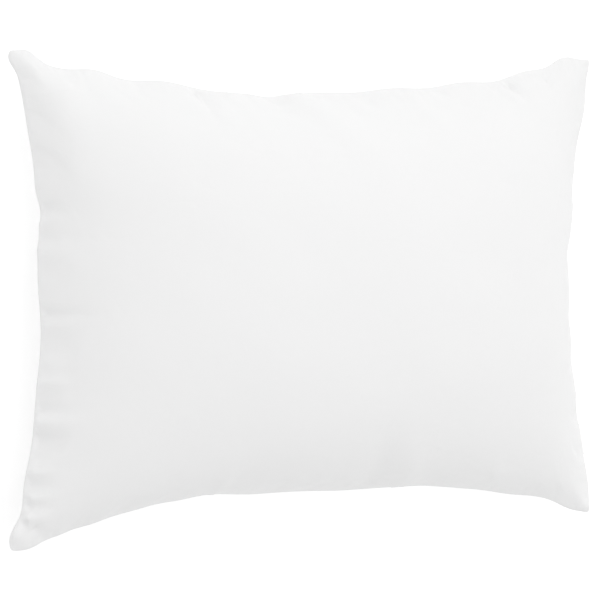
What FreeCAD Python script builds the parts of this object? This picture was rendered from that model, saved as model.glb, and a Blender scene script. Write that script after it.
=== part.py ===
import FreeCAD, Part
import math
import os

# A stuffed bed pillow lying flat, in millimetres. +X runs along its length, +Y along its width and +Z up
# through its thickness. The origin is under its middle, on the surface that it rests on.

# driving dimensions
corner_length = 644.0  # from corner tip to corner tip along X
corner_width = 492.0  # from corner tip to corner tip along Y
loft = 216.0  # full height at the crown
seam_height = 97.0  # height of the seam plane over the surface
short_side_sag = 31.0  # how far each short side pulls in at its middle
long_side_sag = 48.0  # how far each long side pulls in at its middle
panel_thickness = 0.6  # woven cotton
allowance = 10.0  # width of the turned-in seam allowance
allowance_gap = 0.5  # room between the two allowances, which the label fills
thread_thickness = 0.5
stitch_inset = 3.0  # from the folded edge to the lockstitch line
fill_inset = 6.0  # how far short of the folded edge the filling stops
fit_gap = 0.2  # clearance between the filling and the cloth
fold_room = 0.1  # height of the hollow inside the folded edge
arc_half_angle = math.radians(75.0)  # half the angle of the arc that each panel's section follows
fullness = 0.45  # how much steeper than that the cloth leaves the seam

# the corner tips: how far the cloth is drawn back there, and how local that is
tip_blunting = 6.0
tip_power = 6

# the closing of the stuffing gap, on the short side at +X
closing_stitch_count = 30
closing_stitch_pitch = 8.0
closing_stitch_length = 4.0
closing_stitch_width = 0.8

# the care label, caught in the seam at +X
label_width = 34.0
label_drop = 46.0
label_thickness = 0.4
label_offset = 172.0  # from the middle of the side towards -Y
label_tail = 8.0  # how much of it is held between the allowances
label_gap = 1.0  # how far outside the folded edge the flap hangs

# the overedge stitching of the raw edges
overlock_reach = 1.5  # how far it reaches over them
overlock_seat = 1.0  # room past its reach, for a clean cut

# worked-out heights
half_length = corner_length / 2 + tip_blunting
half_width = corner_width / 2 + tip_blunting
rim = allowance_gap / 2 + 2 * panel_thickness  # the folded edge, from the seam plane to its outside
upper_crown = loft - seam_height - rim
lower_crown = upper_crown  # it would bulge as far below, but for the surface that it rests on
grid_lines = 33
far = 2000.0  # past everything
over_cut = 1.0  # how far a cutting plate runs past what it cuts
core_gap = 2.0  # how far the filling keeps from the raw edges
side_step = 0.01  # the step of v that a side's direction is taken over


def arc_place(t):
    """Where a point sits along its arc, -1 to 1, seen from above."""
    return math.sin(arc_half_angle * t) / math.sin(arc_half_angle)


def arc_rise(t):
    """How high the arc is there, from 0 at its ends to 1 at its middle."""
    end = math.cos(arc_half_angle)
    return (math.cos(arc_half_angle * t) - end) / (1 - end)


def cloth_point(u, v, inset, crown, base):
    """A point of a panel: arcs both ways, sides that pull in between the corners, and blunt tips."""
    tip = tip_blunting * (u * v) ** (2 * tip_power)
    reach_x = half_length - inset - short_side_sag * (1 - v * v)
    reach_y = half_width - inset - long_side_sag * (1 - u * u)
    x = reach_x * arc_place(u) - tip * u
    y = reach_y * arc_place(v) - tip * v
    rise = arc_rise(u) * arc_rise(v)
    return FreeCAD.Vector(x, y, base + crown * rise * (1 + fullness * (1 - rise)))


def cloth_face(inset, crown, base):
    """A panel's surface, as one smooth face through an even grid of its points."""
    steps = [2 * i / (grid_lines - 1) - 1 for i in range(grid_lines)]
    surface = Part.BSplineSurface()
    surface.interpolate([[cloth_point(u, v, inset, crown, base) for v in steps] for u in steps])
    return surface.toShape()


def slab(low, high):
    """All space between two heights."""
    return Part.makeBox(2 * far, 2 * far, high - low, FreeCAD.Vector(-far, -far, low))


def dome(inset, crown, base, low, high):
    """The space between a panel's surface and the seam side of it, kept between two heights."""
    reach = -far if crown > 0 else far
    column = cloth_face(inset, crown, base).extrude(FreeCAD.Vector(0, 0, reach))
    return column.common(slab(low, high))


def plate(inset, low, high):
    """A flat plate of the pillow's outline, drawn in by inset."""
    return cloth_face(inset, 0.0, low).extrude(FreeCAD.Vector(0, 0, high - low))


def make_top_panel():
    """The upper cloth, with its allowance turned in along the seam."""
    under = seam_height + allowance_gap / 2
    floor = under + panel_thickness
    outside = dome(0.0, upper_crown, seam_height + rim, under, far)
    inside = dome(panel_thickness, upper_crown, floor + fold_room, floor, far)
    opening = plate(allowance, under - over_cut, floor + over_cut)
    return outside.cut(inside).cut(opening)


def make_bottom_panel():
    """The lower cloth: the same with its crown down, cut flat where it rests."""
    over = seam_height - allowance_gap / 2
    ceiling = over - panel_thickness
    outside = dome(0.0, -lower_crown, seam_height - rim, 0.0, over)
    inside = dome(panel_thickness, -lower_crown, ceiling - fold_room, panel_thickness, ceiling)
    opening = plate(allowance, ceiling - over_cut, over + over_cut)
    return outside.cut(inside).cut(opening)


def make_fibre_fill():
    """The stuffing: it fills the cloth, and keeps clear of the allowance and its threads."""
    groove = rim + thread_thickness
    inset = panel_thickness + fit_gap
    floor = seam_height + allowance_gap / 2 + panel_thickness - fit_gap
    ceiling = seam_height - allowance_gap / 2 - panel_thickness + fit_gap
    upper = dome(inset, upper_crown, floor, seam_height + groove, far)
    lower = dome(inset, -lower_crown, ceiling, panel_thickness + fit_gap, seam_height - groove)
    shape = plate(fill_inset, 0.0, loft)
    core = plate(allowance + core_gap, seam_height - groove, seam_height + groove)
    return upper.common(shape).fuse(core).fuse(lower.common(shape))


def ring(inset, width, low, high):
    """A band that follows the outline, drawn in by inset."""
    return plate(inset, low, high).cut(plate(inset + width, low - over_cut, high + over_cut))


def make_needle_thread():
    """The lockstitch's upper thread, on the upper allowance."""
    low = seam_height + allowance_gap / 2 + panel_thickness
    return ring(stitch_inset, thread_thickness, low, low + thread_thickness)


def make_bobbin_thread():
    """The lockstitch's lower thread, under the lower allowance."""
    high = seam_height - allowance_gap / 2 - panel_thickness
    return ring(stitch_inset, thread_thickness, high - thread_thickness, high)


def make_overlock_thread():
    """The overedge thread, wrapped round both raw edges."""
    half = allowance_gap / 2 + panel_thickness
    wrap = thread_thickness
    outer = ring(allowance - overlock_reach, overlock_reach + wrap,
                 seam_height - half - wrap, seam_height + half + wrap)
    held_width = overlock_reach + overlock_seat
    held = ring(allowance - held_width, held_width, seam_height - half, seam_height + half)
    return outer.cut(held)


def to_side(shape, along):
    """Moves a shape from the origin to the folded edge at +X, and turns it to face outwards there."""
    v = math.asin(along / half_width * math.sin(arc_half_angle)) / arc_half_angle
    edge = cloth_point(1.0, v, 0.0, 0.0, seam_height)
    run = cloth_point(1.0, v + side_step, 0.0, 0.0, seam_height) - edge
    turn = math.degrees(math.atan2(-run.x, run.y))
    shape.rotate(FreeCAD.Vector(0, 0, 0), FreeCAD.Vector(0, 0, 1), turn)
    shape.translate(edge)
    return shape


def make_closing_stitches():
    """Short slip stitches over the folded edge, along the middle of the short side at +X."""
    stitches = []
    for i in range(closing_stitch_count):
        along = (i - (closing_stitch_count - 1) / 2) * closing_stitch_pitch
        stitch = Part.makeBox(closing_stitch_width, closing_stitch_length, 2 * rim,
                              FreeCAD.Vector(0, -closing_stitch_length / 2, -rim))
        stitches.append(to_side(stitch, along))
    return Part.makeCompound(stitches)


def make_care_label():
    """A blank folded label: a tail held in the seam, and a flap that hangs below it."""
    low = -label_thickness / 2
    near = -label_width / 2
    tail = Part.makeBox(label_gap + label_tail, label_width, label_thickness,
                        FreeCAD.Vector(-label_tail, near, low))
    flap = Part.makeBox(label_thickness, label_width, label_drop,
                        FreeCAD.Vector(label_gap, near, low + label_thickness - label_drop))
    return to_side(tail.fuse(flap), -label_offset)


nodes = {
    "top_panel": make_top_panel,
    "bottom_panel": make_bottom_panel,
    "fibre_fill": make_fibre_fill,
    "needle_thread": make_needle_thread,
    "bobbin_thread": make_bobbin_thread,
    "overlock_thread": make_overlock_thread,
    "closing_stitches": make_closing_stitches,
    "care_label": make_care_label,
}

os.makedirs("parts", exist_ok=True)
for name, make in nodes.items():
    shape = make()
    shape.exportStep(f"parts/{name}.step")
    heights = [point.z for point in shape.tessellate(0.5)[0]]
    print(f"{name}: {len(shape.Solids)} solids, {shape.Volume / 1000:.2f} cm3, "
          f"z {min(heights):.2f} to {max(heights):.2f}, valid {shape.isValid()}")
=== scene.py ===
import math

import bpy
import numpy as np
from mathutils import Matrix, Vector


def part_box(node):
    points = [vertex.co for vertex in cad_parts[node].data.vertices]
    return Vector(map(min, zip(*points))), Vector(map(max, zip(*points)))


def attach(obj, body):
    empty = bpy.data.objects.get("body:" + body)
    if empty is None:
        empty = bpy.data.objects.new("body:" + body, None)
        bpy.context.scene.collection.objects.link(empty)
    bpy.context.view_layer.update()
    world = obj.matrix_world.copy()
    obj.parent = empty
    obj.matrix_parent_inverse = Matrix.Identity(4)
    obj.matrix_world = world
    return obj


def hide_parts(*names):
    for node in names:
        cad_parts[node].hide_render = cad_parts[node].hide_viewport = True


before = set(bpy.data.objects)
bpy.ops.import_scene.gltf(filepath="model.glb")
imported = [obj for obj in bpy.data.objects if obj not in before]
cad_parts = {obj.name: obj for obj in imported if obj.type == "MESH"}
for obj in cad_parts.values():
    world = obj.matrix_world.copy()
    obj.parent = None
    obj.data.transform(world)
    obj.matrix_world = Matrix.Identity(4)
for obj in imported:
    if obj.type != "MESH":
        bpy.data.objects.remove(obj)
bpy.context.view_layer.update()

# a stuffed bed pillow, in metres: +X runs along its length, +Y along its width, and it rests at z = 0
topLow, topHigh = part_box("top_panel")
bottomLow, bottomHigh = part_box("bottom_panel")
seamZ = (topLow.z + bottomHigh.z) / 2   # height of the seam over the surface
gapHalf = topLow.z - seamZ   # from the seam plane to the turned-in cloth

pillow = {
    "tipX": topHigh.x,             # where the corner tips reach
    "tipY": topHigh.y,
    "sagX": 0.031,                 # how far the short sides pull in
    "sagY": 0.048,                 # how far the long sides pull in
    "tipBeyond": 0.006,            # how far past the tips the sides would meet if they weren't rounded
    "tipRound": 0.08,              # how much the tips are rounded
    "tipPower": 20,                # and how local that is
    "arc": math.radians(75),       # half angle of the arc that a section follows
    "fullness": 0.45,              # how much steeper than the arc the cloth leaves the seam
    "cutX": 0.68,                  # the cloth as it was cut, with its allowances
    "cutY": 0.528,
    "allowance": 0.010,
    "cloth": 0.0006,               # thickness of the cotton
    "rest": 0.012,                 # how softly it turns flat where it rests
}
rim = gapHalf + 2 * pillow["cloth"]   # from the seam plane to the outside of the folded edge
crownHeight = topHigh.z - seamZ - rim

# each side's own bulges and hollows: where along it, how wide, how far out
sideBulges = {
    "left": [(-0.232, 0.017, 0.008), (-0.180, 0.028, 0.004), (-0.035, 0.045, -0.004), (0.040, 0.016, -0.001),
             (0.086, 0.018, -0.006), (0.062, 0.009, -0.002), (0.130, 0.030, -0.0025), (0.236, 0.010, 0.0045)],
    "right": [(-0.205, 0.040, 0.010), (-0.158, 0.026, 0.005), (-0.112, 0.030, 0.006), (-0.058, 0.022, 0.002),
              (0.036, 0.024, -0.004), (0.085, 0.018, 0.002), (0.135, 0.040, 0.0015), (0.190, 0.030, 0.006),
              (0.248, 0.006, -0.0018)],
    "back": [(-0.304, 0.013, 0.008), (-0.237, 0.024, 0.007), (-0.165, 0.034, 0.006), (-0.052, 0.016, -0.003),
             (0.010, 0.040, 0.003), (0.090, 0.038, 0.006), (0.168, 0.036, 0.007), (0.245, 0.030, 0.009),
             (0.290, 0.019, 0.012), (0.323, 0.006, -0.0016)],
    "front": [(-0.303, 0.018, 0.008), (-0.276, 0.014, 0.004), (-0.247, 0.024, 0.004),
              (-0.172, 0.022, -0.0025), (-0.120, 0.034, -0.005), (0.030, 0.040, 0.002),
              (0.125, 0.030, -0.0015), (0.225, 0.026, 0.002), (0.300, 0.020, 0.005)],
}


def even(count):
    return np.linspace(-1, 1, count + 1)


def sideBulge(side, along):   # a sum of bell curves
    return sum(out * np.exp(-((along - place) / width) ** 2) for place, width, out in sideBulges[side])


def arcPlace(t):   # where a point sits along its arc, seen from above
    return np.sin(pillow["arc"] * t) / math.sin(pillow["arc"])


def arcRise(t):   # how high the arc is there, 0 at its ends to 1 at its middle
    end = math.cos(pillow["arc"])
    return (np.cos(pillow["arc"] * t) - end) / (1 - end)


def outlinePlace(u, v, inset=0.0):
    # the square's corners rounded as u * sqrt(1 - c * v ** p), then both arcs, each reach shortened by
    # a sag times 1 - v * v, and then the sides' own bulges, which fade with the fifth power of u
    power, share = pillow["tipPower"], pillow["tipRound"]
    u, v = u * np.sqrt(1 - share * v ** power), v * np.sqrt(1 - share * u ** power)
    x = (pillow["tipX"] + pillow["tipBeyond"] - inset - pillow["sagX"] * (1 - v * v)) * arcPlace(u)
    y = (pillow["tipY"] + pillow["tipBeyond"] - inset - pillow["sagY"] * (1 - u * u)) * arcPlace(v)
    outX = np.where(u > 0, sideBulge("right", y), -sideBulge("left", y)) * np.abs(u) ** 5
    outY = np.where(v > 0, sideBulge("back", x), -sideBulge("front", x)) * np.abs(v) ** 5
    return x + outX, y + outY


def crown(u, v):   # both arcs' rises multiplied to r, and steepened at the seam as r * (1 + f * (1 - r))
    rise = arcRise(u) * arcRise(v)
    return rise * (1 + pillow["fullness"] * (1 - rise))


def restFlat(z):   # 0 below the surface, z above it, and a parabola that joins them between
    soft = pillow["rest"]
    return np.where(z < -soft, 0, np.where(z > soft, z, (np.clip(z, -soft, soft) + soft) ** 2 / (4 * soft)))


def gridQuads(index, flip=False):
    a, b, c, d = index[:-1, :-1], index[1:, :-1], index[1:, 1:], index[:-1, 1:]
    order = [a, d, c, b] if flip else [a, b, c, d]
    return np.stack(order, -1).reshape(-1, 4)


def newObject(name, points, faces, smooth=True):
    mesh = bpy.data.meshes.new(name)
    mesh.from_pydata(points.tolist(), [], faces.tolist())
    mesh.polygons.foreach_set("use_smooth", np.full(len(faces), smooth))
    mesh.update()
    piece = bpy.data.objects.new(name, mesh)
    bpy.context.scene.collection.objects.link(piece)
    return piece


def addUv(piece, name, place):   # one UV pair for each vertex
    corner = np.empty(len(piece.data.loops), np.int32)
    piece.data.loops.foreach_get("vertex_index", corner)
    layer = piece.data.uv_layers.new(name=name)
    layer.data.foreach_set("uv", place[corner].astype(np.float32).ravel())


# the simulation that puffs the cloth up from its seam
puff = {
    "cells": (110, 84),
    "frames": 16,
    "pressure": 3.0,
    "quality": 6,
    "mass": 0.3,
    "stiff": 15,
    "shear": 5.0,
    "bend": 1.0,
    "reach": 0.055,                # how far from the seam the cloth was eased in
    "ease": {"left": 0.026, "right": 0.018, "front": 0.013, "back": 0.013},   # share of extra cloth there
    "waves": (31, 47, 73, 101, 139),   # how the ease comes and goes along a side, in radians a metre
    "usual": 0.6,                  # share of the ease where the waves cancel out
    "sway": 0.8,                   # how much they add or take away
    "cap": 0.007,                  # how far the cloth may move
    "iron": 1,                     # times its small crinkles are smoothed
    "seed": 7,
}


def easeWeights(u, v, rng):
    # extra cloth fades out from each side, and comes and goes along it as a sum of sines
    x, y = u * pillow["tipX"], v * pillow["tipY"]
    weight = np.zeros(u.shape)
    for name, away, along in (("left", x + pillow["tipX"], y), ("right", pillow["tipX"] - x, y),
                              ("front", y + pillow["tipY"], x), ("back", pillow["tipY"] - y, x)):
        phase = rng.uniform(0, 2 * np.pi, len(puff["waves"]))
        wave = sum(np.sin(along * f + p) for f, p in zip(puff["waves"], phase)) / len(puff["waves"])
        fade = np.clip(1 - away / puff["reach"], 0, 1)
        here = np.clip(puff["usual"] + puff["sway"] * wave, 0, 1)
        weight = np.maximum(weight, puff["ease"][name] * fade * here)
    return weight


def puffedShift():
    # the two panels as one closed cover that shares the seam line, which is held while air puffs it up
    u, v = np.meshgrid(even(puff["cells"][0]), even(puff["cells"][1]), indexing="ij")
    x, y = outlinePlace(u, v)
    edge = (np.abs(u) > 1 - 1e-9) | (np.abs(v) > 1 - 1e-9)
    topIndex = np.arange(x.size).reshape(x.shape)
    bottomIndex = topIndex.copy()
    bottomIndex[~edge] = x.size + np.arange((~edge).sum())
    up = np.stack([x, y, seamZ + crownHeight * crown(u, v)], -1)
    down = np.stack([x, y, seamZ - crownHeight * crown(u, v)], -1)
    points = np.vstack([up.reshape(-1, 3), down[~edge]])
    faces = np.vstack([gridQuads(topIndex), gridQuads(bottomIndex, flip=True)])
    cover = newObject("cover", points, faces)
    ease = easeWeights(u, v, np.random.default_rng(puff["seed"]))
    most = max(puff["ease"].values())
    seam = cover.vertex_groups.new(name="seam")
    seam.add(topIndex[edge].tolist(), 1.0, "REPLACE")
    taut = cover.vertex_groups.new(name="taut")   # 1 where the cloth has no ease, 0 where it has the most
    for index in (topIndex, bottomIndex):
        for i, w in zip(index.ravel().tolist(), (1 - ease / most).ravel().tolist()):
            taut.add([i], w, "REPLACE")
    cloth = cover.modifiers.new("Cloth", "CLOTH")
    cloth.settings.quality = puff["quality"]
    cloth.settings.mass = puff["mass"]
    cloth.settings.tension_stiffness = puff["stiff"]
    cloth.settings.compression_stiffness = puff["stiff"]
    cloth.settings.shear_stiffness = puff["shear"]
    cloth.settings.bending_stiffness = puff["bend"]
    cloth.settings.use_pressure = True
    cloth.settings.uniform_pressure_force = puff["pressure"]
    cloth.settings.vertex_group_mass = "seam"
    cloth.settings.pin_stiffness = 1
    cloth.settings.vertex_group_shrink = "taut"
    cloth.settings.shrink_min = -most
    cloth.settings.shrink_max = 0
    cloth.settings.effector_weights.gravity = 0
    cloth.collision_settings.use_collision = False
    cloth.point_cache.frame_start = 1
    cloth.point_cache.frame_end = puff["frames"]
    for frameNumber in range(1, puff["frames"] + 1):
        bpy.context.scene.frame_set(frameNumber)
    evaluated = cover.evaluated_get(bpy.context.evaluated_depsgraph_get())
    moved = np.empty(points.size, np.float32)
    evaluated.data.vertices.foreach_get("co", moved)
    shift = moved.reshape(-1, 3) - points
    length = np.linalg.norm(shift, axis=1, keepdims=True)
    usual, top = (round(float(value) * 1000, 1) for value in (length.mean(), length.max()))
    print("cloth moved", usual, "mm, at most", top)
    shift *= puff["cap"] * np.tanh(length / puff["cap"]) / np.maximum(length, 1e-9)
    bpy.data.objects.remove(cover)
    bpy.context.scene.frame_set(1)
    return ironed(shift[topIndex]), ironed(shift[bottomIndex])


def ironed(shift):   # a point's move is mixed with its neighbours', and the border is held
    for _ in range(puff["iron"]):
        near = shift[:-2, 1:-1] + shift[2:, 1:-1] + shift[1:-1, :-2] + shift[1:-1, 2:]
        shift = shift.copy()
        shift[1:-1, 1:-1] = (shift[1:-1, 1:-1] + near / 4) / 2
    return shift


def catmull(rows, count):   # Catmull-Rom: each new point blends the four rows about it
    last = len(rows) - 1
    place = np.linspace(0, last, count + 1)
    k = np.minimum(place.astype(int), last - 1)
    t = (place - k).reshape((-1,) + (1,) * (rows.ndim - 1))
    padded = np.concatenate([[2 * rows[0] - rows[1]], rows, [2 * rows[-1] - rows[-2]]])
    p0, p1, p2, p3 = (padded[k + i] for i in range(4))
    return 0.5 * (2 * p1 + (p2 - p0) * t + (2 * p0 - 5 * p1 + 4 * p2 - p3) * t**2
                  + (3 * p1 - p0 - 3 * p2 + p3) * t**3)


def refined(coarse, cells):   # a cubic spline through the grid, along each direction in turn
    along = catmull(coarse, cells[0])
    return np.moveaxis(catmull(np.moveaxis(along, 1, 0), cells[1]), 0, 1)


# the panels' finished surface
panel = {
    "cells": (240, 184),
    "seamFade": 0.004,             # folds and ripples fade out about this near the seam
    "lumpFade": 0.06,              # and the lumps over this far
    "lowerFolds": 0.7,             # height of the lower panel's folds, as a share of the upper's
    "fadePower": 1.5,              # how a fold fades along its length
    "edgeOut": 0.0003,             # how far the folded edge stands out
    "cutStart": 0.001,             # where the allowance starts on the cut cloth, past the seam line
    "cutShare": 0.9,               # and how far it runs on, as a share of its width
    "shell": 0.9,                  # thickness of the mesh, as a share of the cloth's
    "lumps": [(0.0005, 38), (0.0002, 83)],   # how high, and radians a metre
    "gathers": {"reach": 0.014, "height": 0.0005, "waves": (390, 530, 720)},   # fine ripples along the seam
    "seed": 21,
}

# soft folds of the upper panel, seen from above: from, to, half width, height (under 0: a hollow).
# Each is full at its first end and fades out at its second.
folds = [
    ((-0.280, 0.205), (-0.256, 0.060), 0.022, 0.0058),
    ((-0.297, 0.092), (-0.268, 0.095), 0.006, -0.0022),
    ((-0.297, 0.079), (-0.262, 0.083), 0.005, 0.0034),
    ((-0.297, 0.062), (-0.262, 0.066), 0.007, -0.0016),
    ((-0.298, 0.042), (-0.250, 0.038), 0.012, 0.0030),
    ((-0.297, -0.012), (-0.245, -0.010), 0.005, -0.0046),
    ((-0.297, -0.025), (-0.266, -0.023), 0.006, 0.0044),
    ((-0.297, -0.081), (-0.266, -0.079), 0.005, 0.0032),
    ((-0.298, -0.107), (-0.274, -0.104), 0.005, -0.0040),
    ((-0.298, -0.121), (-0.258, -0.117), 0.008, 0.0050),
    ((-0.300, -0.140), (-0.262, -0.136), 0.010, -0.0022),
    ((-0.304, -0.170), (-0.280, -0.166), 0.005, 0.0036),
    ((-0.307, -0.182), (-0.284, -0.179), 0.005, -0.0024),
    ((-0.307, -0.195), (-0.278, -0.191), 0.006, 0.0042),
    ((-0.310, -0.203), (-0.288, -0.199), 0.004, -0.0020),
    ((-0.310, -0.215), (-0.284, -0.209), 0.006, 0.0058),
    ((-0.304, -0.225), (-0.286, -0.247), 0.006, -0.0030),
    ((-0.324, -0.228), (-0.306, -0.252), 0.008, 0.0058),
    ((-0.134, 0.207), (-0.128, 0.160), 0.005, -0.0026),
    ((-0.122, 0.205), (-0.100, 0.155), 0.010, 0.0030),
    ((-0.100, 0.200), (-0.062, 0.135), 0.013, 0.0026),
    ((-0.024, 0.200), (0.054, 0.122), 0.017, 0.0038),
    ((-0.046, 0.200), (0.010, 0.135), 0.012, -0.0026),
    ((0.100, 0.205), (0.130, 0.150), 0.013, 0.0030),
    ((0.218, 0.218), (0.234, 0.196), 0.004, -0.0046),
    ((0.207, 0.214), (0.226, 0.188), 0.006, 0.0028),
    ((0.262, 0.222), (0.266, 0.214), 0.003, -0.0018),
    ((0.057, -0.200), (0.030, -0.104), 0.016, -0.0062),
    ((0.092, -0.200), (0.062, -0.125), 0.012, 0.0030),
    ((-0.118, -0.200), (-0.118, -0.135), 0.008, 0.0024),
    ((0.196, -0.212), (0.176, -0.155), 0.009, 0.0020),
    ((-0.316, 0.238), (-0.285, 0.200), 0.007, 0.0026),
    ((0.318, 0.240), (0.276, 0.192), 0.009, 0.0024),
    ((0.318, -0.240), (0.278, -0.202), 0.009, 0.0036),
]


def foldHeight(x, y):   # a bell across each fold, times the share of its length that is left
    height = np.zeros(x.shape)
    for (x0, y0), (x1, y1), width, high in folds:
        run = np.array([x1 - x0, y1 - y0])
        t = ((x - x0) * run[0] + (y - y0) * run[1]) / (run @ run)
        aside = ((x - x0) * run[1] - (y - y0) * run[0]) / math.hypot(*run)
        left = np.clip(1 - t, 0, 1) * np.clip(1 + 4 * t, 0, 1)
        height += high * left ** panel["fadePower"] * np.exp(-(aside / width) ** 2)
    return height


def lumpHeight(x, y, rng):   # the filling's soft lumps: sums of slanted sine waves
    height = np.zeros(x.shape)
    for high, wave in panel["lumps"]:
        for angle, phase in zip(rng.uniform(0, np.pi, 5), rng.uniform(0, 2 * np.pi, 5)):
            height += high / 2 * np.sin(wave * (x * math.cos(angle) + y * math.sin(angle)) + phase)
    return height


def gatherHeight(x, y, away, rng):   # fine ripples along the seam, which die out away from it
    gathers = panel["gathers"]
    along = np.where(np.abs(x) / pillow["tipX"] > np.abs(y) / pillow["tipY"], y, x)
    height = np.zeros(x.shape)
    for wave in gathers["waves"]:
        slow = rng.uniform(0, 2 * np.pi, 2)
        height += np.sin(wave * along + slow[0]) * np.sin(wave / 9 * along + slow[1])
    return gathers["height"] * height * np.exp(-away / gathers["reach"])


def gridNormals(grid):
    normals = np.cross(np.gradient(grid, axis=0), np.gradient(grid, axis=1))
    return normals / np.linalg.norm(normals, axis=-1, keepdims=True)


def panelGrid(shift, side):
    # the formula's surface, moved as the simulation says, then raised or sunk along its normals
    nx, ny = panel["cells"]
    u, v = np.meshgrid(even(nx), even(ny), indexing="ij")
    x, y = outlinePlace(u, v)
    z = seamZ + side * (rim + crownHeight * crown(u, v))
    grid = np.stack([x, y, z], -1) + refined(shift, (nx, ny))
    rng = np.random.default_rng(panel["seed"] + side)
    away = np.minimum(pillow["tipX"] * (1 - np.abs(u)), pillow["tipY"] * (1 - np.abs(v)))
    own = foldHeight(side * x, y) * (1 if side > 0 else panel["lowerFolds"])   # mirrored below
    lumps = lumpHeight(x, y, rng) * np.clip(away / panel["lumpFade"], 0, 1)
    high = own + lumps + gatherHeight(x, y, away, rng)
    high *= 1 - np.exp(-(away / panel["seamFade"]) ** 2)
    grid += side * high[..., None] * gridNormals(grid)
    grid[..., 2] = restFlat(grid[..., 2])
    return grid


def ringOf(index):   # the grid's border, once round
    return np.concatenate([index[:-1, 0], index[-1, :-1], index[:0:-1, -1], index[0, :0:-1]])


def makePanel(name, node, shift, side):
    grid = panelGrid(shift, side)
    nx, ny = panel["cells"]
    index = np.arange((nx + 1) * (ny + 1)).reshape(nx + 1, ny + 1)
    u, v = np.meshgrid(even(nx), even(ny), indexing="ij")
    ring = ringOf(index)
    ringU, ringV = u.ravel()[ring], v.ravel()[ring]
    # the folded edge and the allowance that is turned in behind it
    turned = [(-panel["edgeOut"], gapHalf + pillow["cloth"]), (0.0, gapHalf), (0.003, gapHalf),
              (0.006, gapHalf), (pillow["allowance"], gapHalf)]
    points, faces = [grid.reshape(-1, 3)], [gridQuads(index, side < 0)]
    seamX, seamY = pillow["cutX"] / 2 - pillow["allowance"], pillow["cutY"] / 2 - pillow["allowance"]
    flat = [np.stack([u * seamX, v * seamY], -1).reshape(-1, 2)]
    last = ring
    for step, (inset, high) in enumerate(turned):
        x, y = outlinePlace(ringU, ringV, inset)
        points.append(np.stack([x, y, np.full(x.shape, seamZ + side * high)], -1))
        out = panel["cutStart"] + max(inset, 0) * panel["cutShare"]
        flat.append(np.stack([ringU * seamX + out * np.trunc(ringU),
                              ringV * seamY + out * np.trunc(ringV)], -1))
        own = index.size + step * len(ring) + np.arange(len(ring))
        quads = [last, own, np.roll(own, -1), np.roll(last, -1)]
        faces.append(np.stack(quads if side > 0 else quads[::-1], -1))
        last = own
    piece = newObject(name, np.vstack(points), np.vstack(faces))
    addUv(piece, "cut", np.vstack(flat))
    piece.data.materials.append(cotton)
    thick = piece.modifiers.new("thickness", "SOLIDIFY")
    thick.thickness = pillow["cloth"] * panel["shell"]
    thick.offset = -1
    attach(piece, "root")
    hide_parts(node)
    return grid


def socket(group, name, kind, way, value=None):
    made = group.interface.new_socket(name=name, in_out=way, socket_type=kind)
    if value is not None:
        made.default_value = value
    return made


class Nodes:   # short ways to add and join shader nodes
    def __init__(self, tree):
        self.tree = tree

    def add(self, kind, **values):
        node = self.tree.nodes.new(kind)
        for name, value in values.items():
            setattr(node, name, value)
        return node

    def join(self, start, end):
        self.tree.links.new(start, end)

    def math(self, operation, a, b=None, c=None):
        node = self.add("ShaderNodeMath", operation=operation)
        for slot, value in enumerate((a, b, c)):
            if value is None:
                continue
            if isinstance(value, (int, float)):
                node.inputs[slot].default_value = value
            else:
                self.join(value, node.inputs[slot])
        return node.outputs[0]


def plainWeaveGroup():
    # warp and weft as half sines that pass over each other in turn, with threads of uneven thickness; the
    # tone follows the height, so it carries painted shade in the hollows between threads as well as the
    # slubs' own tone
    group = bpy.data.node_groups.new("plain weave", "ShaderNodeTree")
    socket(group, "Vector", "NodeSocketVector", "INPUT")
    socket(group, "Pitch", "NodeSocketFloat", "INPUT", 0.0005)
    socket(group, "Slub", "NodeSocketFloat", "INPUT", 0.5)
    socket(group, "Height", "NodeSocketFloat", "OUTPUT")
    socket(group, "ThreadShadeAndSlubTone", "NodeSocketFloat", "OUTPUT")
    n = Nodes(group)
    given = n.add("NodeGroupInput")
    result = n.add("NodeGroupOutput")
    split = n.add("ShaderNodeSeparateXYZ")
    n.join(given.outputs["Vector"], split.inputs[0])
    waves = []
    for axis in ("X", "Y"):
        turns = n.math("DIVIDE", split.outputs[axis], given.outputs["Pitch"])
        waves.append(n.math("SINE", n.math("MULTIPLY", turns, math.pi)))
    over = n.math("MULTIPLY_ADD", n.math("MULTIPLY", waves[0], waves[1]), 3.0, 0.5)
    over = n.math("MAXIMUM", n.math("MINIMUM", over, 1.0), 0.0)
    warp = n.math("MULTIPLY", n.math("ABSOLUTE", waves[0]), over)
    weft = n.math("MULTIPLY", n.math("ABSOLUTE", waves[1]), n.math("SUBTRACT", 1.0, over))
    slubs = []
    for stretch in ((60, 1400, 1), (1400, 60, 1)):
        mapping = n.add("ShaderNodeMapping")
        mapping.inputs["Scale"].default_value = stretch
        n.join(given.outputs["Vector"], mapping.inputs["Vector"])
        noise = n.add("ShaderNodeTexNoise")
        noise.inputs["Scale"].default_value = 1.0
        noise.inputs["Detail"].default_value = 2.0
        n.join(mapping.outputs[0], noise.inputs["Vector"])
        slubs.append(noise.outputs[0])
    slub = n.math("MULTIPLY", n.math("ADD", slubs[0], slubs[1]), given.outputs["Slub"])
    height = n.math("ADD", n.math("ADD", warp, weft), slub)
    n.join(height, result.inputs["Height"])
    # painted shade: the tone is the height, darker in the hollows between the threads, plus the slubs' real
    # unevenness
    n.join(n.math("MULTIPLY_ADD", height, 0.5, 0.25), result.inputs["ThreadShadeAndSlubTone"])
    return group


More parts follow.
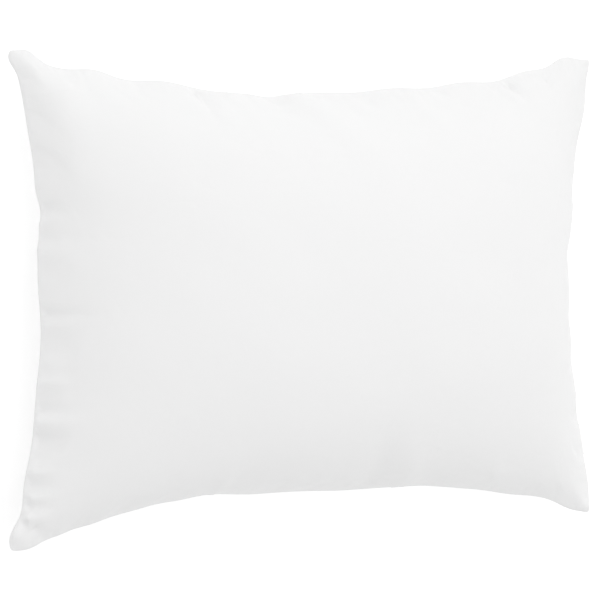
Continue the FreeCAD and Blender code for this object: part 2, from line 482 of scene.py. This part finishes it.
def softCreaseGroup():
    # faint pressed creases: a stretched noise whose middle value makes thin lines, blurred by a second one
    group = bpy.data.node_groups.new("soft creases", "ShaderNodeTree")
    socket(group, "Vector", "NodeSocketVector", "INPUT")
    socket(group, "Scale", "NodeSocketFloat", "INPUT", 12.0)
    socket(group, "Height", "NodeSocketFloat", "OUTPUT")
    n = Nodes(group)
    given = n.add("NodeGroupInput")
    result = n.add("NodeGroupOutput")
    parts = []
    for scale, detail in ((1.0, 3.0), (4.3, 2.0)):
        noise = n.add("ShaderNodeTexNoise")
        noise.inputs["Detail"].default_value = detail
        noise.inputs["Roughness"].default_value = 0.45
        noise.inputs["Distortion"].default_value = 0.6
        n.join(given.outputs["Vector"], noise.inputs["Vector"])
        n.join(n.math("MULTIPLY", given.outputs["Scale"], scale), noise.inputs["Scale"])
        parts.append(noise.outputs[0])
    fold = n.math("ABSOLUTE", n.math("SUBTRACT", parts[0], 0.5))
    crease = n.math("MINIMUM", n.math("MULTIPLY", fold, 8.0), 1.0)
    n.join(n.math("MULTIPLY_ADD", parts[1], 0.6, crease), result.inputs["Height"])
    return group


plainWeave = plainWeaveGroup()
softCrease = softCreaseGroup()
print("node groups made")


def startMaterial(name):
    material = bpy.data.materials.new(name)
    material.use_nodes = True
    n = Nodes(material.node_tree)
    return material, n, material.node_tree.nodes["Principled BSDF"]


def fill(shader, values):   # plain numbers and colours go on the shader's own sockets
    for name, value in values.items():
        shader.inputs[name].default_value = value


def toneBetween(n, share, dark, light):   # a colour between two, by a share
    mix = n.add("ShaderNodeMix", data_type="RGBA")
    mix.inputs["A"].default_value = dark
    mix.inputs["B"].default_value = light
    n.join(share, mix.inputs["Factor"])
    return mix.outputs["Result"]


def bump(n, height, distance, strength, normal=None):
    node = n.add("ShaderNodeBump")
    node.inputs["Distance"].default_value = distance
    node.inputs["Strength"].default_value = strength
    n.join(height, node.inputs["Height"])
    if normal is not None:
        n.join(normal, node.inputs["Normal"])
    return node.outputs[0]


def cottonMaterial():
    material, n, shader = startMaterial("white cotton")
    fill(shader, {"Roughness": 0.85, "Specular IOR Level": 0.25, "Sheen Weight": 0.12,
                  "Sheen Roughness": 0.4})
    cut = n.add("ShaderNodeUVMap", uv_map="cut")
    weave = n.add("ShaderNodeGroup", node_tree=plainWeave)
    weave.inputs["Pitch"].default_value = 0.00045
    weave.inputs["Slub"].default_value = 0.35
    n.join(cut.outputs[0], weave.inputs["Vector"])
    crease = n.add("ShaderNodeGroup", node_tree=softCrease)
    crease.inputs["Scale"].default_value = 16.0
    n.join(cut.outputs[0], crease.inputs["Vector"])
    # the cloth's colour: painted shade, darker in the hollows between threads, and the slubs' own tone
    n.join(toneBetween(n, weave.outputs["ThreadShadeAndSlubTone"], (0.83, 0.83, 0.832, 1), (0.885, 0.885, 0.885, 1)),
           shader.inputs["Base Color"])
    soft = bump(n, crease.outputs["Height"], 0.0012, 0.12)
    n.join(bump(n, weave.outputs["Height"], 0.00012, 0.35, soft), shader.inputs["Normal"])
    return material


cotton = cottonMaterial()
topShift, bottomShift = puffedShift()
topGrid = makePanel("cotton_top_panel", "top_panel", topShift, 1)
bottomGrid = makePanel("cotton_bottom_panel", "bottom_panel", bottomShift, -1)
print("panels made")


# the loose fibre inside
filling = {
    "cells": (150, 116),
    "reach": 0.960,                # how near the seam it comes
    "corner": 0.16,                # how much nearer the middle at the corners, which it leaves empty
    "clear": 0.0012,               # from the cloth
    "tufts": 0.0022,               # depth of its tufts
    "lip": 0.0024,                 # half height of the groove for the allowances
    "grooveX": 0.97,               # how far in the groove reaches, as a share of the border's place
    "grooveY": 0.96,
    "grooveNarrow": 0.8,           # its height there, as a share of its lip
    "lipShare": 0.7,               # most of the border's height that the lip takes
    "seed": 5,
}


def gridSample(grid, u, v):   # the finished panel's surface at any u, v, by mixing the four points about it
    nx, ny = grid.shape[0] - 1, grid.shape[1] - 1
    a, b = (u + 1) / 2 * nx, (v + 1) / 2 * ny
    i, j = np.clip(a.astype(int), 0, nx - 1), np.clip(b.astype(int), 0, ny - 1)
    s, t = (a - i)[..., None], (b - j)[..., None]
    return ((grid[i, j] * (1 - s) + grid[i + 1, j] * s) * (1 - t)
            + (grid[i, j + 1] * (1 - s) + grid[i + 1, j + 1] * s) * t)


def fillingPlace(s, t):   # the square drawn in at its corners, as s * sqrt(1 - c * t * t)
    return (filling["reach"] * s * np.sqrt(1 - filling["corner"] * t * t),
            filling["reach"] * t * np.sqrt(1 - filling["corner"] * s * s))


def makeFilling():
    nx, ny = filling["cells"]
    s, t = np.meshgrid(even(nx), even(ny), indexing="ij")
    u, v = fillingPlace(s, t)
    rng = np.random.default_rng(filling["seed"])
    index = np.arange(s.size).reshape(s.shape)
    ring = ringOf(index)
    points, faces, loops = [], [], []
    for side, grid in ((1, topGrid), (-1, bottomGrid)):
        soft = rng.normal(0, 1, s.shape)
        for _ in range(2):
            soft = (soft + np.roll(soft, 1, 0) + np.roll(soft, 1, 1) + np.roll(soft, (1, 1), (0, 1))) / 3
        depth = pillow["cloth"] + filling["clear"] + filling["tufts"] * np.abs(soft) * 0.5
        surface = gridSample(grid, u, v) - side * depth[..., None] * gridSample(gridNormals(grid), u, v)
        surface[..., 2] = np.maximum(surface[..., 2], pillow["cloth"] + filling["clear"])
        start = 0 if side > 0 else s.size
        points.append(surface.reshape(-1, 3))
        faces.append(gridQuads(index + start, side < 0))
        loops.append((ring + start, surface.reshape(-1, 3)[ring]))
    count = 2 * s.size
    between = []
    for side, border in ((1, loops[0][1]), (-1, loops[1][1])):
        lip = np.minimum(filling["lip"], np.abs(border[:, 2] - seamZ) * filling["lipShare"])
        edge = np.stack([border[:, 0], border[:, 1], seamZ + side * lip], -1)
        depth = np.stack([border[:, 0] * filling["grooveX"], border[:, 1] * filling["grooveY"],
                          seamZ + side * lip * filling["grooveNarrow"]], -1)
        between += [edge, depth] if side > 0 else [depth, edge]
    chain = [loops[0][0]] + [count + k * len(ring) + np.arange(len(ring)) for k in range(4)] + [loops[1][0]]
    for a, b in zip(chain, chain[1:]):
        faces.append(np.stack([a, b, np.roll(b, -1), np.roll(a, -1)], -1))
    piece = newObject("fibre_filling", np.vstack(points + between), np.vstack(faces))
    piece.data.materials.append(fibreMaterial())
    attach(piece, "root")
    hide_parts("fibre_fill")


def fibreMaterial():
    # tangled fine fibres: two stretched noises that cross each other
    material, n, shader = startMaterial("hollow fibre")
    fill(shader, {"Roughness": 0.7, "Specular IOR Level": 0.3, "Sheen Weight": 0.3, "Sheen Roughness": 0.5})
    place = n.add("ShaderNodeTexCoord")
    fibres = []
    for turn, stretch in ((0.4, (40, 700, 90)), (1.7, (50, 900, 120)), (2.6, (30, 500, 60))):
        mapping = n.add("ShaderNodeMapping")
        mapping.inputs["Rotation"].default_value = (turn / 3, turn / 2, turn)
        mapping.inputs["Scale"].default_value = stretch
        n.join(place.outputs["Object"], mapping.inputs["Vector"])
        noise = n.add("ShaderNodeTexNoise")
        noise.inputs["Scale"].default_value = 1.0
        noise.inputs["Detail"].default_value = 4.0
        noise.inputs["Distortion"].default_value = 1.2
        n.join(mapping.outputs[0], noise.inputs["Vector"])
        fibres.append(noise.outputs[0])
    height = n.math("MAXIMUM", n.math("MAXIMUM", fibres[0], fibres[1]), fibres[2])
    # painted shade: darker where no strand lies, in the gaps of the tangle, from the same height as the bump
    n.join(toneBetween(n, height, (0.70, 0.70, 0.71, 1), (0.97, 0.97, 0.97, 1)), shader.inputs["Base Color"])
    n.join(bump(n, height, 0.0008, 0.6), shader.inputs["Normal"])
    return material


makeFilling()
print("filling made")


# the lockstitch, the overedge stitch and the slip stitches that close the stuffing gap
sewing = {
    "radius": 0.00017,
    "sides": 5,
    "stitch": 0.003,
    "stitchInset": 0.003,          # from the folded edge
    "perStitch": 8,                # points along each stitch
    "dip": 0.14,                   # share of a stitch over which the thread turns down into its hole
    "overlockPitch": 0.003,
    "overlockPoints": 12,
    "overlockMiddle": 0.0088,      # inset of the middle of its loops
    "overlockReach": 0.0015,
}


def tubeMesh(path, sides, radius, reference, closed=True):
    # rings of points square to the path, turned so that they never twist against the reference direction
    tangent = np.roll(path, -1, 0) - np.roll(path, 1, 0) if closed else np.gradient(path, axis=0)
    tangent /= np.linalg.norm(tangent, axis=1, keepdims=True)
    first = reference - (reference * tangent).sum(1, keepdims=True) * tangent
    first /= np.linalg.norm(first, axis=1, keepdims=True)
    second = np.cross(tangent, first)
    angle = np.arange(sides) * 2 * np.pi / sides
    ring = np.cos(angle)[None, :, None] * first[:, None] + np.sin(angle)[None, :, None] * second[:, None]
    radius = np.broadcast_to(radius, len(path))[:, None, None]
    points = (path[:, None] + radius * ring).reshape(-1, 3)
    index = np.arange(len(path) * sides).reshape(len(path), sides)
    rows = np.vstack([index, index[:1]]) if closed else index
    wide = np.hstack([rows, rows[:, :1]])
    return points, gridQuads(wide, flip=True)


def seamPlaces(inset):   # close points round the outline, drawn in by inset, and how far along each one is
    t = even(600)[:-1]
    one = np.ones(t.size)
    u = np.concatenate([t, one, -t, -one])
    v = np.concatenate([-one, t, one, -t])
    x, y = outlinePlace(u, v, inset)
    return x, y, np.concatenate([[0], np.cumsum(np.hypot(np.diff(x, append=x[0]), np.diff(y, append=y[0])))])


def seamLength(inset):
    return seamPlaces(inset)[2][-1]


def alongSeam(count, inset):
    # points evenly along the closed outline, drawn in by inset, with the way along it and the way out
    x, y, place = seamPlaces(inset)
    want = np.linspace(0, place[-1], count, endpoint=False)
    line = np.stack([np.interp(want, place, np.append(a, a[0])) for a in (x, y)], -1)
    way = np.roll(line, -1, 0) - np.roll(line, 1, 0)
    way /= np.linalg.norm(way, axis=1, keepdims=True)
    return line, way, np.stack([way[:, 1], -way[:, 0]], -1)


def makeLockstitch(name, node, side):
    length = seamLength(sewing["stitchInset"])
    stitches = round(length / sewing["stitch"])
    line = alongSeam(stitches * sewing["perStitch"], sewing["stitchInset"])[0]
    phase = (np.arange(len(line)) / sewing["perStitch"]) % 1
    lift = 1 - np.exp(-(np.minimum(phase, 1 - phase) / sewing["dip"]) ** 2)
    high = gapHalf + pillow["cloth"] + sewing["radius"]
    z = seamZ + side * (sewing["radius"] * 0.6 + (high - sewing["radius"] * 0.6) * lift)
    path = np.column_stack([line, z])
    reference = np.tile([0.0, 0.0, 1.0], (len(path), 1))
    points, faces = tubeMesh(path, sewing["sides"], sewing["radius"], reference)
    finishThread(newObject(name, points, faces), node)


def makeOverlock():
    # a flattened coil round both raw edges
    length = seamLength(sewing["overlockMiddle"])
    turns = round(length / sewing["overlockPitch"])
    line, way, out = alongSeam(turns * sewing["overlockPoints"], sewing["overlockMiddle"])
    angle = np.arange(len(line)) * 2 * np.pi / sewing["overlockPoints"]
    high = gapHalf + pillow["cloth"] + sewing["radius"] * 1.2
    place = line + sewing["overlockReach"] * np.cos(angle)[:, None] * out
    path = np.column_stack([place, seamZ + high * np.sin(angle)])
    reference = np.column_stack([way, np.zeros(len(way))])
    points, faces = tubeMesh(path, sewing["sides"], sewing["radius"], reference)
    finishThread(newObject("overlock_stitching", points, faces), "overlock_thread")


closing = {
    "count": 30,
    "pitch": 0.008,
    "slant": 0.0016,               # half of what a stitch moves on along the seam
    "deep": 0.0012,                # how far in from the edge it enters the cloth
    "radius": 0.00024,
    "points": 9,
}


def onSide(along):   # the folded edge at +X: its place, the way along it and the way out
    v = np.arcsin(along / (pillow["tipY"] + pillow["tipBeyond"]) * math.sin(pillow["arc"])) / pillow["arc"]
    here = np.array(outlinePlace(np.array(1.0), np.array(v)))
    way = np.array(outlinePlace(np.array(1.0), np.array(v + 0.01))) - here
    way /= np.linalg.norm(way)
    return here, way, np.array([way[1], -way[0]])


def makeClosingStitches():
    # each is half an ellipse over the folded edge, slanted along it
    angle = np.linspace(-0.5, 0.5, closing["points"]) * np.pi
    points, faces = [], []
    for i in range(closing["count"]):
        here, way, out = onSide((i - (closing["count"] - 1) / 2) * closing["pitch"])
        proud = (np.cos(angle) * (closing["deep"] + closing["radius"]) - closing["deep"])[:, None]
        place = here + proud * out + (np.sin(angle) * closing["slant"])[:, None] * way
        path = np.column_stack([place, seamZ + (rim + closing["radius"]) * np.sin(angle)])
        reference = np.tile(np.append(way, 0.0), (len(path), 1))
        radius = closing["radius"] * np.cos(angle * 0.96) ** 0.25
        own, quads = tubeMesh(path, 6, radius, reference, closed=False)
        faces.append(quads + sum(len(p) for p in points))
        points.append(own)
    finishThread(newObject("slip_stitches", np.vstack(points), np.vstack(faces)), "closing_stitches")


def threadMaterial():
    # plies that wind round the thread, as slanted stripes of bump, with painted shade in the grooves between
    # them
    material, n, shader = startMaterial("sewing thread")
    fill(shader, {"Roughness": 0.5, "Specular IOR Level": 0.4})
    place = n.add("ShaderNodeTexCoord")
    mapping = n.add("ShaderNodeMapping")
    mapping.inputs["Rotation"].default_value = (0.6, 0.5, 0.8)
    n.join(place.outputs["Object"], mapping.inputs["Vector"])
    plies = n.add("ShaderNodeTexWave", wave_type="BANDS")
    plies.inputs["Scale"].default_value = 900.0
    plies.inputs["Distortion"].default_value = 1.0
    n.join(mapping.outputs[0], plies.inputs["Vector"])
    # painted shade: the bands darken the grooves between the plies, where the bump is low
    n.join(toneBetween(n, plies.outputs["Color"], (0.78, 0.78, 0.78, 1), (0.92, 0.92, 0.92, 1)),
           shader.inputs["Base Color"])
    n.join(bump(n, plies.outputs["Color"], 0.0001, 0.5), shader.inputs["Normal"])
    return material


thread = threadMaterial()


def finishThread(piece, node):
    piece.data.materials.append(thread)
    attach(piece, "root")
    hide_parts(node)


makeLockstitch("lockstitch_upper", "needle_thread", 1)
makeLockstitch("lockstitch_lower", "bobbin_thread", -1)
makeOverlock()
makeClosingStitches()
print("stitches made")


# the blank care label, folded in half and caught in the seam
label = {
    "offset": -0.172,              # from the middle of the side
    "width": 0.034,
    "drop": 0.046,
    "tail": 0.008,                 # held between the allowances
    "thick": 0.00016,
    "gap": 0.0011,                 # out from the folded edge
    "turn": 0.0007,                # radius where it bends down over the edge
    "fold": 0.00035,               # radius of its own fold at the bottom
    "between": 0.00002,            # half the room between its two layers in the seam
    "flare": 0.0022,               # how far its lower edge stands off
    "bow": 0.6,                    # how much of that comes and goes across its width
    "bowTurns": 1.7,               # half turns of that wave
    "bowLean": 0.4,                # and where it starts, in radians
    "across": 24,
}


def makeLabel():
    # a profile of two runs, two quarter turns and a half turn, carried across the width and bowed outwards
    here, way, out = onSide(label["offset"])
    quarter = np.linspace(0, np.pi / 2, 6)
    half = np.linspace(0, np.pi, 9)
    drop = label["drop"] - label["turn"]
    run = np.linspace(0, 1, 26)[1:-1]
    outer, inner = label["gap"] + 2 * label["fold"], label["gap"]
    top = label["thick"] / 2 + label["between"]
    reachOuter = outer - label["turn"]
    pieces = [
        np.column_stack([np.linspace(-label["tail"], reachOuter, 8)[:-1], np.full(7, top)]),
        np.column_stack([reachOuter + label["turn"] * np.sin(quarter),
                         top - label["turn"] * (1 - np.cos(quarter))]),
        np.column_stack([np.full(run.size, outer), top - label["turn"] - run * (drop - label["turn"])]),
        np.column_stack([outer - label["fold"] + label["fold"] * np.cos(half),
                         -drop - label["fold"] * np.sin(half)]),
        np.column_stack([np.full(run.size, inner), -drop + run * (drop - label["turn"])]),
        np.column_stack([inner - label["turn"] / 2 * (1 - np.cos(quarter)),
                         -top - label["turn"] / 2 * (1 - np.sin(quarter))]),
        np.column_stack([np.linspace(inner - label["turn"] / 2, -label["tail"], 8)[1:], np.full(7, -top)]),
    ]
    profile = np.vstack(pieces)
    length = np.concatenate([[0], np.cumsum(np.linalg.norm(np.diff(profile, axis=0), axis=1))])
    across = np.linspace(-0.5, 0.5, label["across"] + 1) * label["width"]
    outward = np.broadcast_to(profile[:, :1], (len(profile), across.size)).copy()
    hang = np.clip(-profile[:, 1:] / label["drop"], 0, 1)
    turn = across / label["width"] * np.pi * label["bowTurns"] + label["bowLean"]
    outward += label["flare"] * hang ** 2 * (1 - label["bow"] * np.cos(turn))[None]
    place = here + outward[..., None] * out + across[None, :, None] * way
    high = np.broadcast_to(seamZ + profile[:, 1:], outward.shape)
    grid = np.concatenate([place, high[..., None]], -1)
    index = np.arange(high.size).reshape(high.shape)
    piece = newObject("blank_care_label", grid.reshape(-1, 3), gridQuads(index))
    lengthwise, crosswise = np.broadcast_arrays(length[:, None], across[None])
    addUv(piece, "tape", np.stack([crosswise, lengthwise], -1).reshape(-1, 2))
    piece.data.materials.append(labelMaterial())
    thick = piece.modifiers.new("thickness", "SOLIDIFY")
    thick.thickness = label["thick"]
    thick.offset = 0
    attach(piece, "root")
    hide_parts("care_label")


def labelMaterial():
    # satin tape: fine ribs along its width and a closed edge at each side
    material, n, shader = startMaterial("satin tape")
    fill(shader, {"Roughness": 0.38, "Specular IOR Level": 0.5, "Sheen Weight": 0.2})
    tape = n.add("ShaderNodeUVMap", uv_map="tape")
    weave = n.add("ShaderNodeGroup", node_tree=plainWeave)
    weave.inputs["Pitch"].default_value = 0.00018
    weave.inputs["Slub"].default_value = 0.15
    n.join(tape.outputs[0], weave.inputs["Vector"])
    split = n.add("ShaderNodeSeparateXYZ")
    n.join(tape.outputs[0], split.inputs[0])
    edge = n.math("GREATER_THAN", n.math("ABSOLUTE", split.outputs["X"]), label["width"] / 2 - 0.0015)
    height = n.math("ADD", weave.outputs["Height"], edge)
    # the tape's colour: painted shade, darker in the hollows between its threads, and the slubs' own tone
    n.join(toneBetween(n, weave.outputs["ThreadShadeAndSlubTone"], (0.88, 0.88, 0.87, 1), (0.95, 0.95, 0.94, 1)),
           shader.inputs["Base Color"])
    n.join(bump(n, height, 0.00008, 0.4), shader.inputs["Normal"])
    return material


makeLabel()
print("label made")


# camera: over the pillow, towards its left end
view = {
    "place": (-1.0162, 0.1623, seamZ + 2.3875),
    "aim": (-0.0158, -0.0063, seamZ),
    "up": (0.0, 1.0, 0.0),
    "lens": 150.96,
}


def makeCamera():
    data = bpy.data.cameras.new("camera")
    data.lens = view["lens"]
    data.sensor_width = 36
    camera = bpy.data.objects.new("camera", data)
    bpy.context.scene.collection.objects.link(camera)
    back = (Vector(view["place"]) - Vector(view["aim"])).normalized()
    right = Vector(view["up"]).cross(back).normalized()
    up = back.cross(right)
    turn = Matrix((right, up, back)).transposed().to_4x4()
    camera.matrix_world = Matrix.Translation(view["place"]) @ turn
    bpy.context.scene.camera = camera


makeCamera()


# soft studio light: an even surround, one large light overhead, weak ones low at the right and the back,
# and a weaker and larger one at the left
studio = {
    "sky": 0.698,
    "floorGlow": 0.265,
    "floorSize": 6.0,
    "lights": [
        {"name": "overhead", "power": 35.5, "size": 2.6, "place": (0.2, 0.6, 3.2)},
        {"name": "right", "power": 7.2, "size": 1.2, "place": (3.0, 0.2, 0.6)},
        {"name": "back", "power": 7.0, "size": 1.2, "place": (0.2, 3.0, 0.7)},
        {"name": "left", "power": 2.6, "size": 2.6, "place": (-2.5, 0.6, 1.6)},
    ],
}


def makeFloor():
    size = studio["floorSize"]
    corners = np.array([(-size, -size, 0), (size, -size, 0), (size, size, 0), (-size, size, 0)])
    floor = newObject("floor", corners, np.array([[0, 1, 2, 3]]), smooth=False)
    material, _, shader = startMaterial("pale floor")
    fill(shader, {"Base Color": (0.9, 0.9, 0.9, 1), "Roughness": 1.0, "Specular IOR Level": 0.0,
                  "Emission Color": (1, 1, 1, 1), "Emission Strength": studio["floorGlow"]})
    floor.data.materials.append(material)


makeFloor()


def makeLights():
    world = bpy.data.worlds.new("studio")
    world.use_nodes = True
    world.node_tree.nodes["Background"].inputs["Color"].default_value = (1, 1, 1, 1)
    world.node_tree.nodes["Background"].inputs["Strength"].default_value = studio["sky"]
    bpy.context.scene.world = world
    for light in studio["lights"]:
        data = bpy.data.lights.new(light["name"], "AREA")
        data.energy = light["power"]
        data.size = light["size"]
        lamp = bpy.data.objects.new(light["name"], data)
        bpy.context.scene.collection.objects.link(lamp)
        lamp.location = light["place"]
        lamp.visible_camera = False
        aim = Vector((0, 0, seamZ)) - lamp.location
        lamp.rotation_euler = aim.to_track_quat("-Z", "Y").to_euler()
    bpy.context.scene.view_settings.view_transform = "Standard"


makeLights()
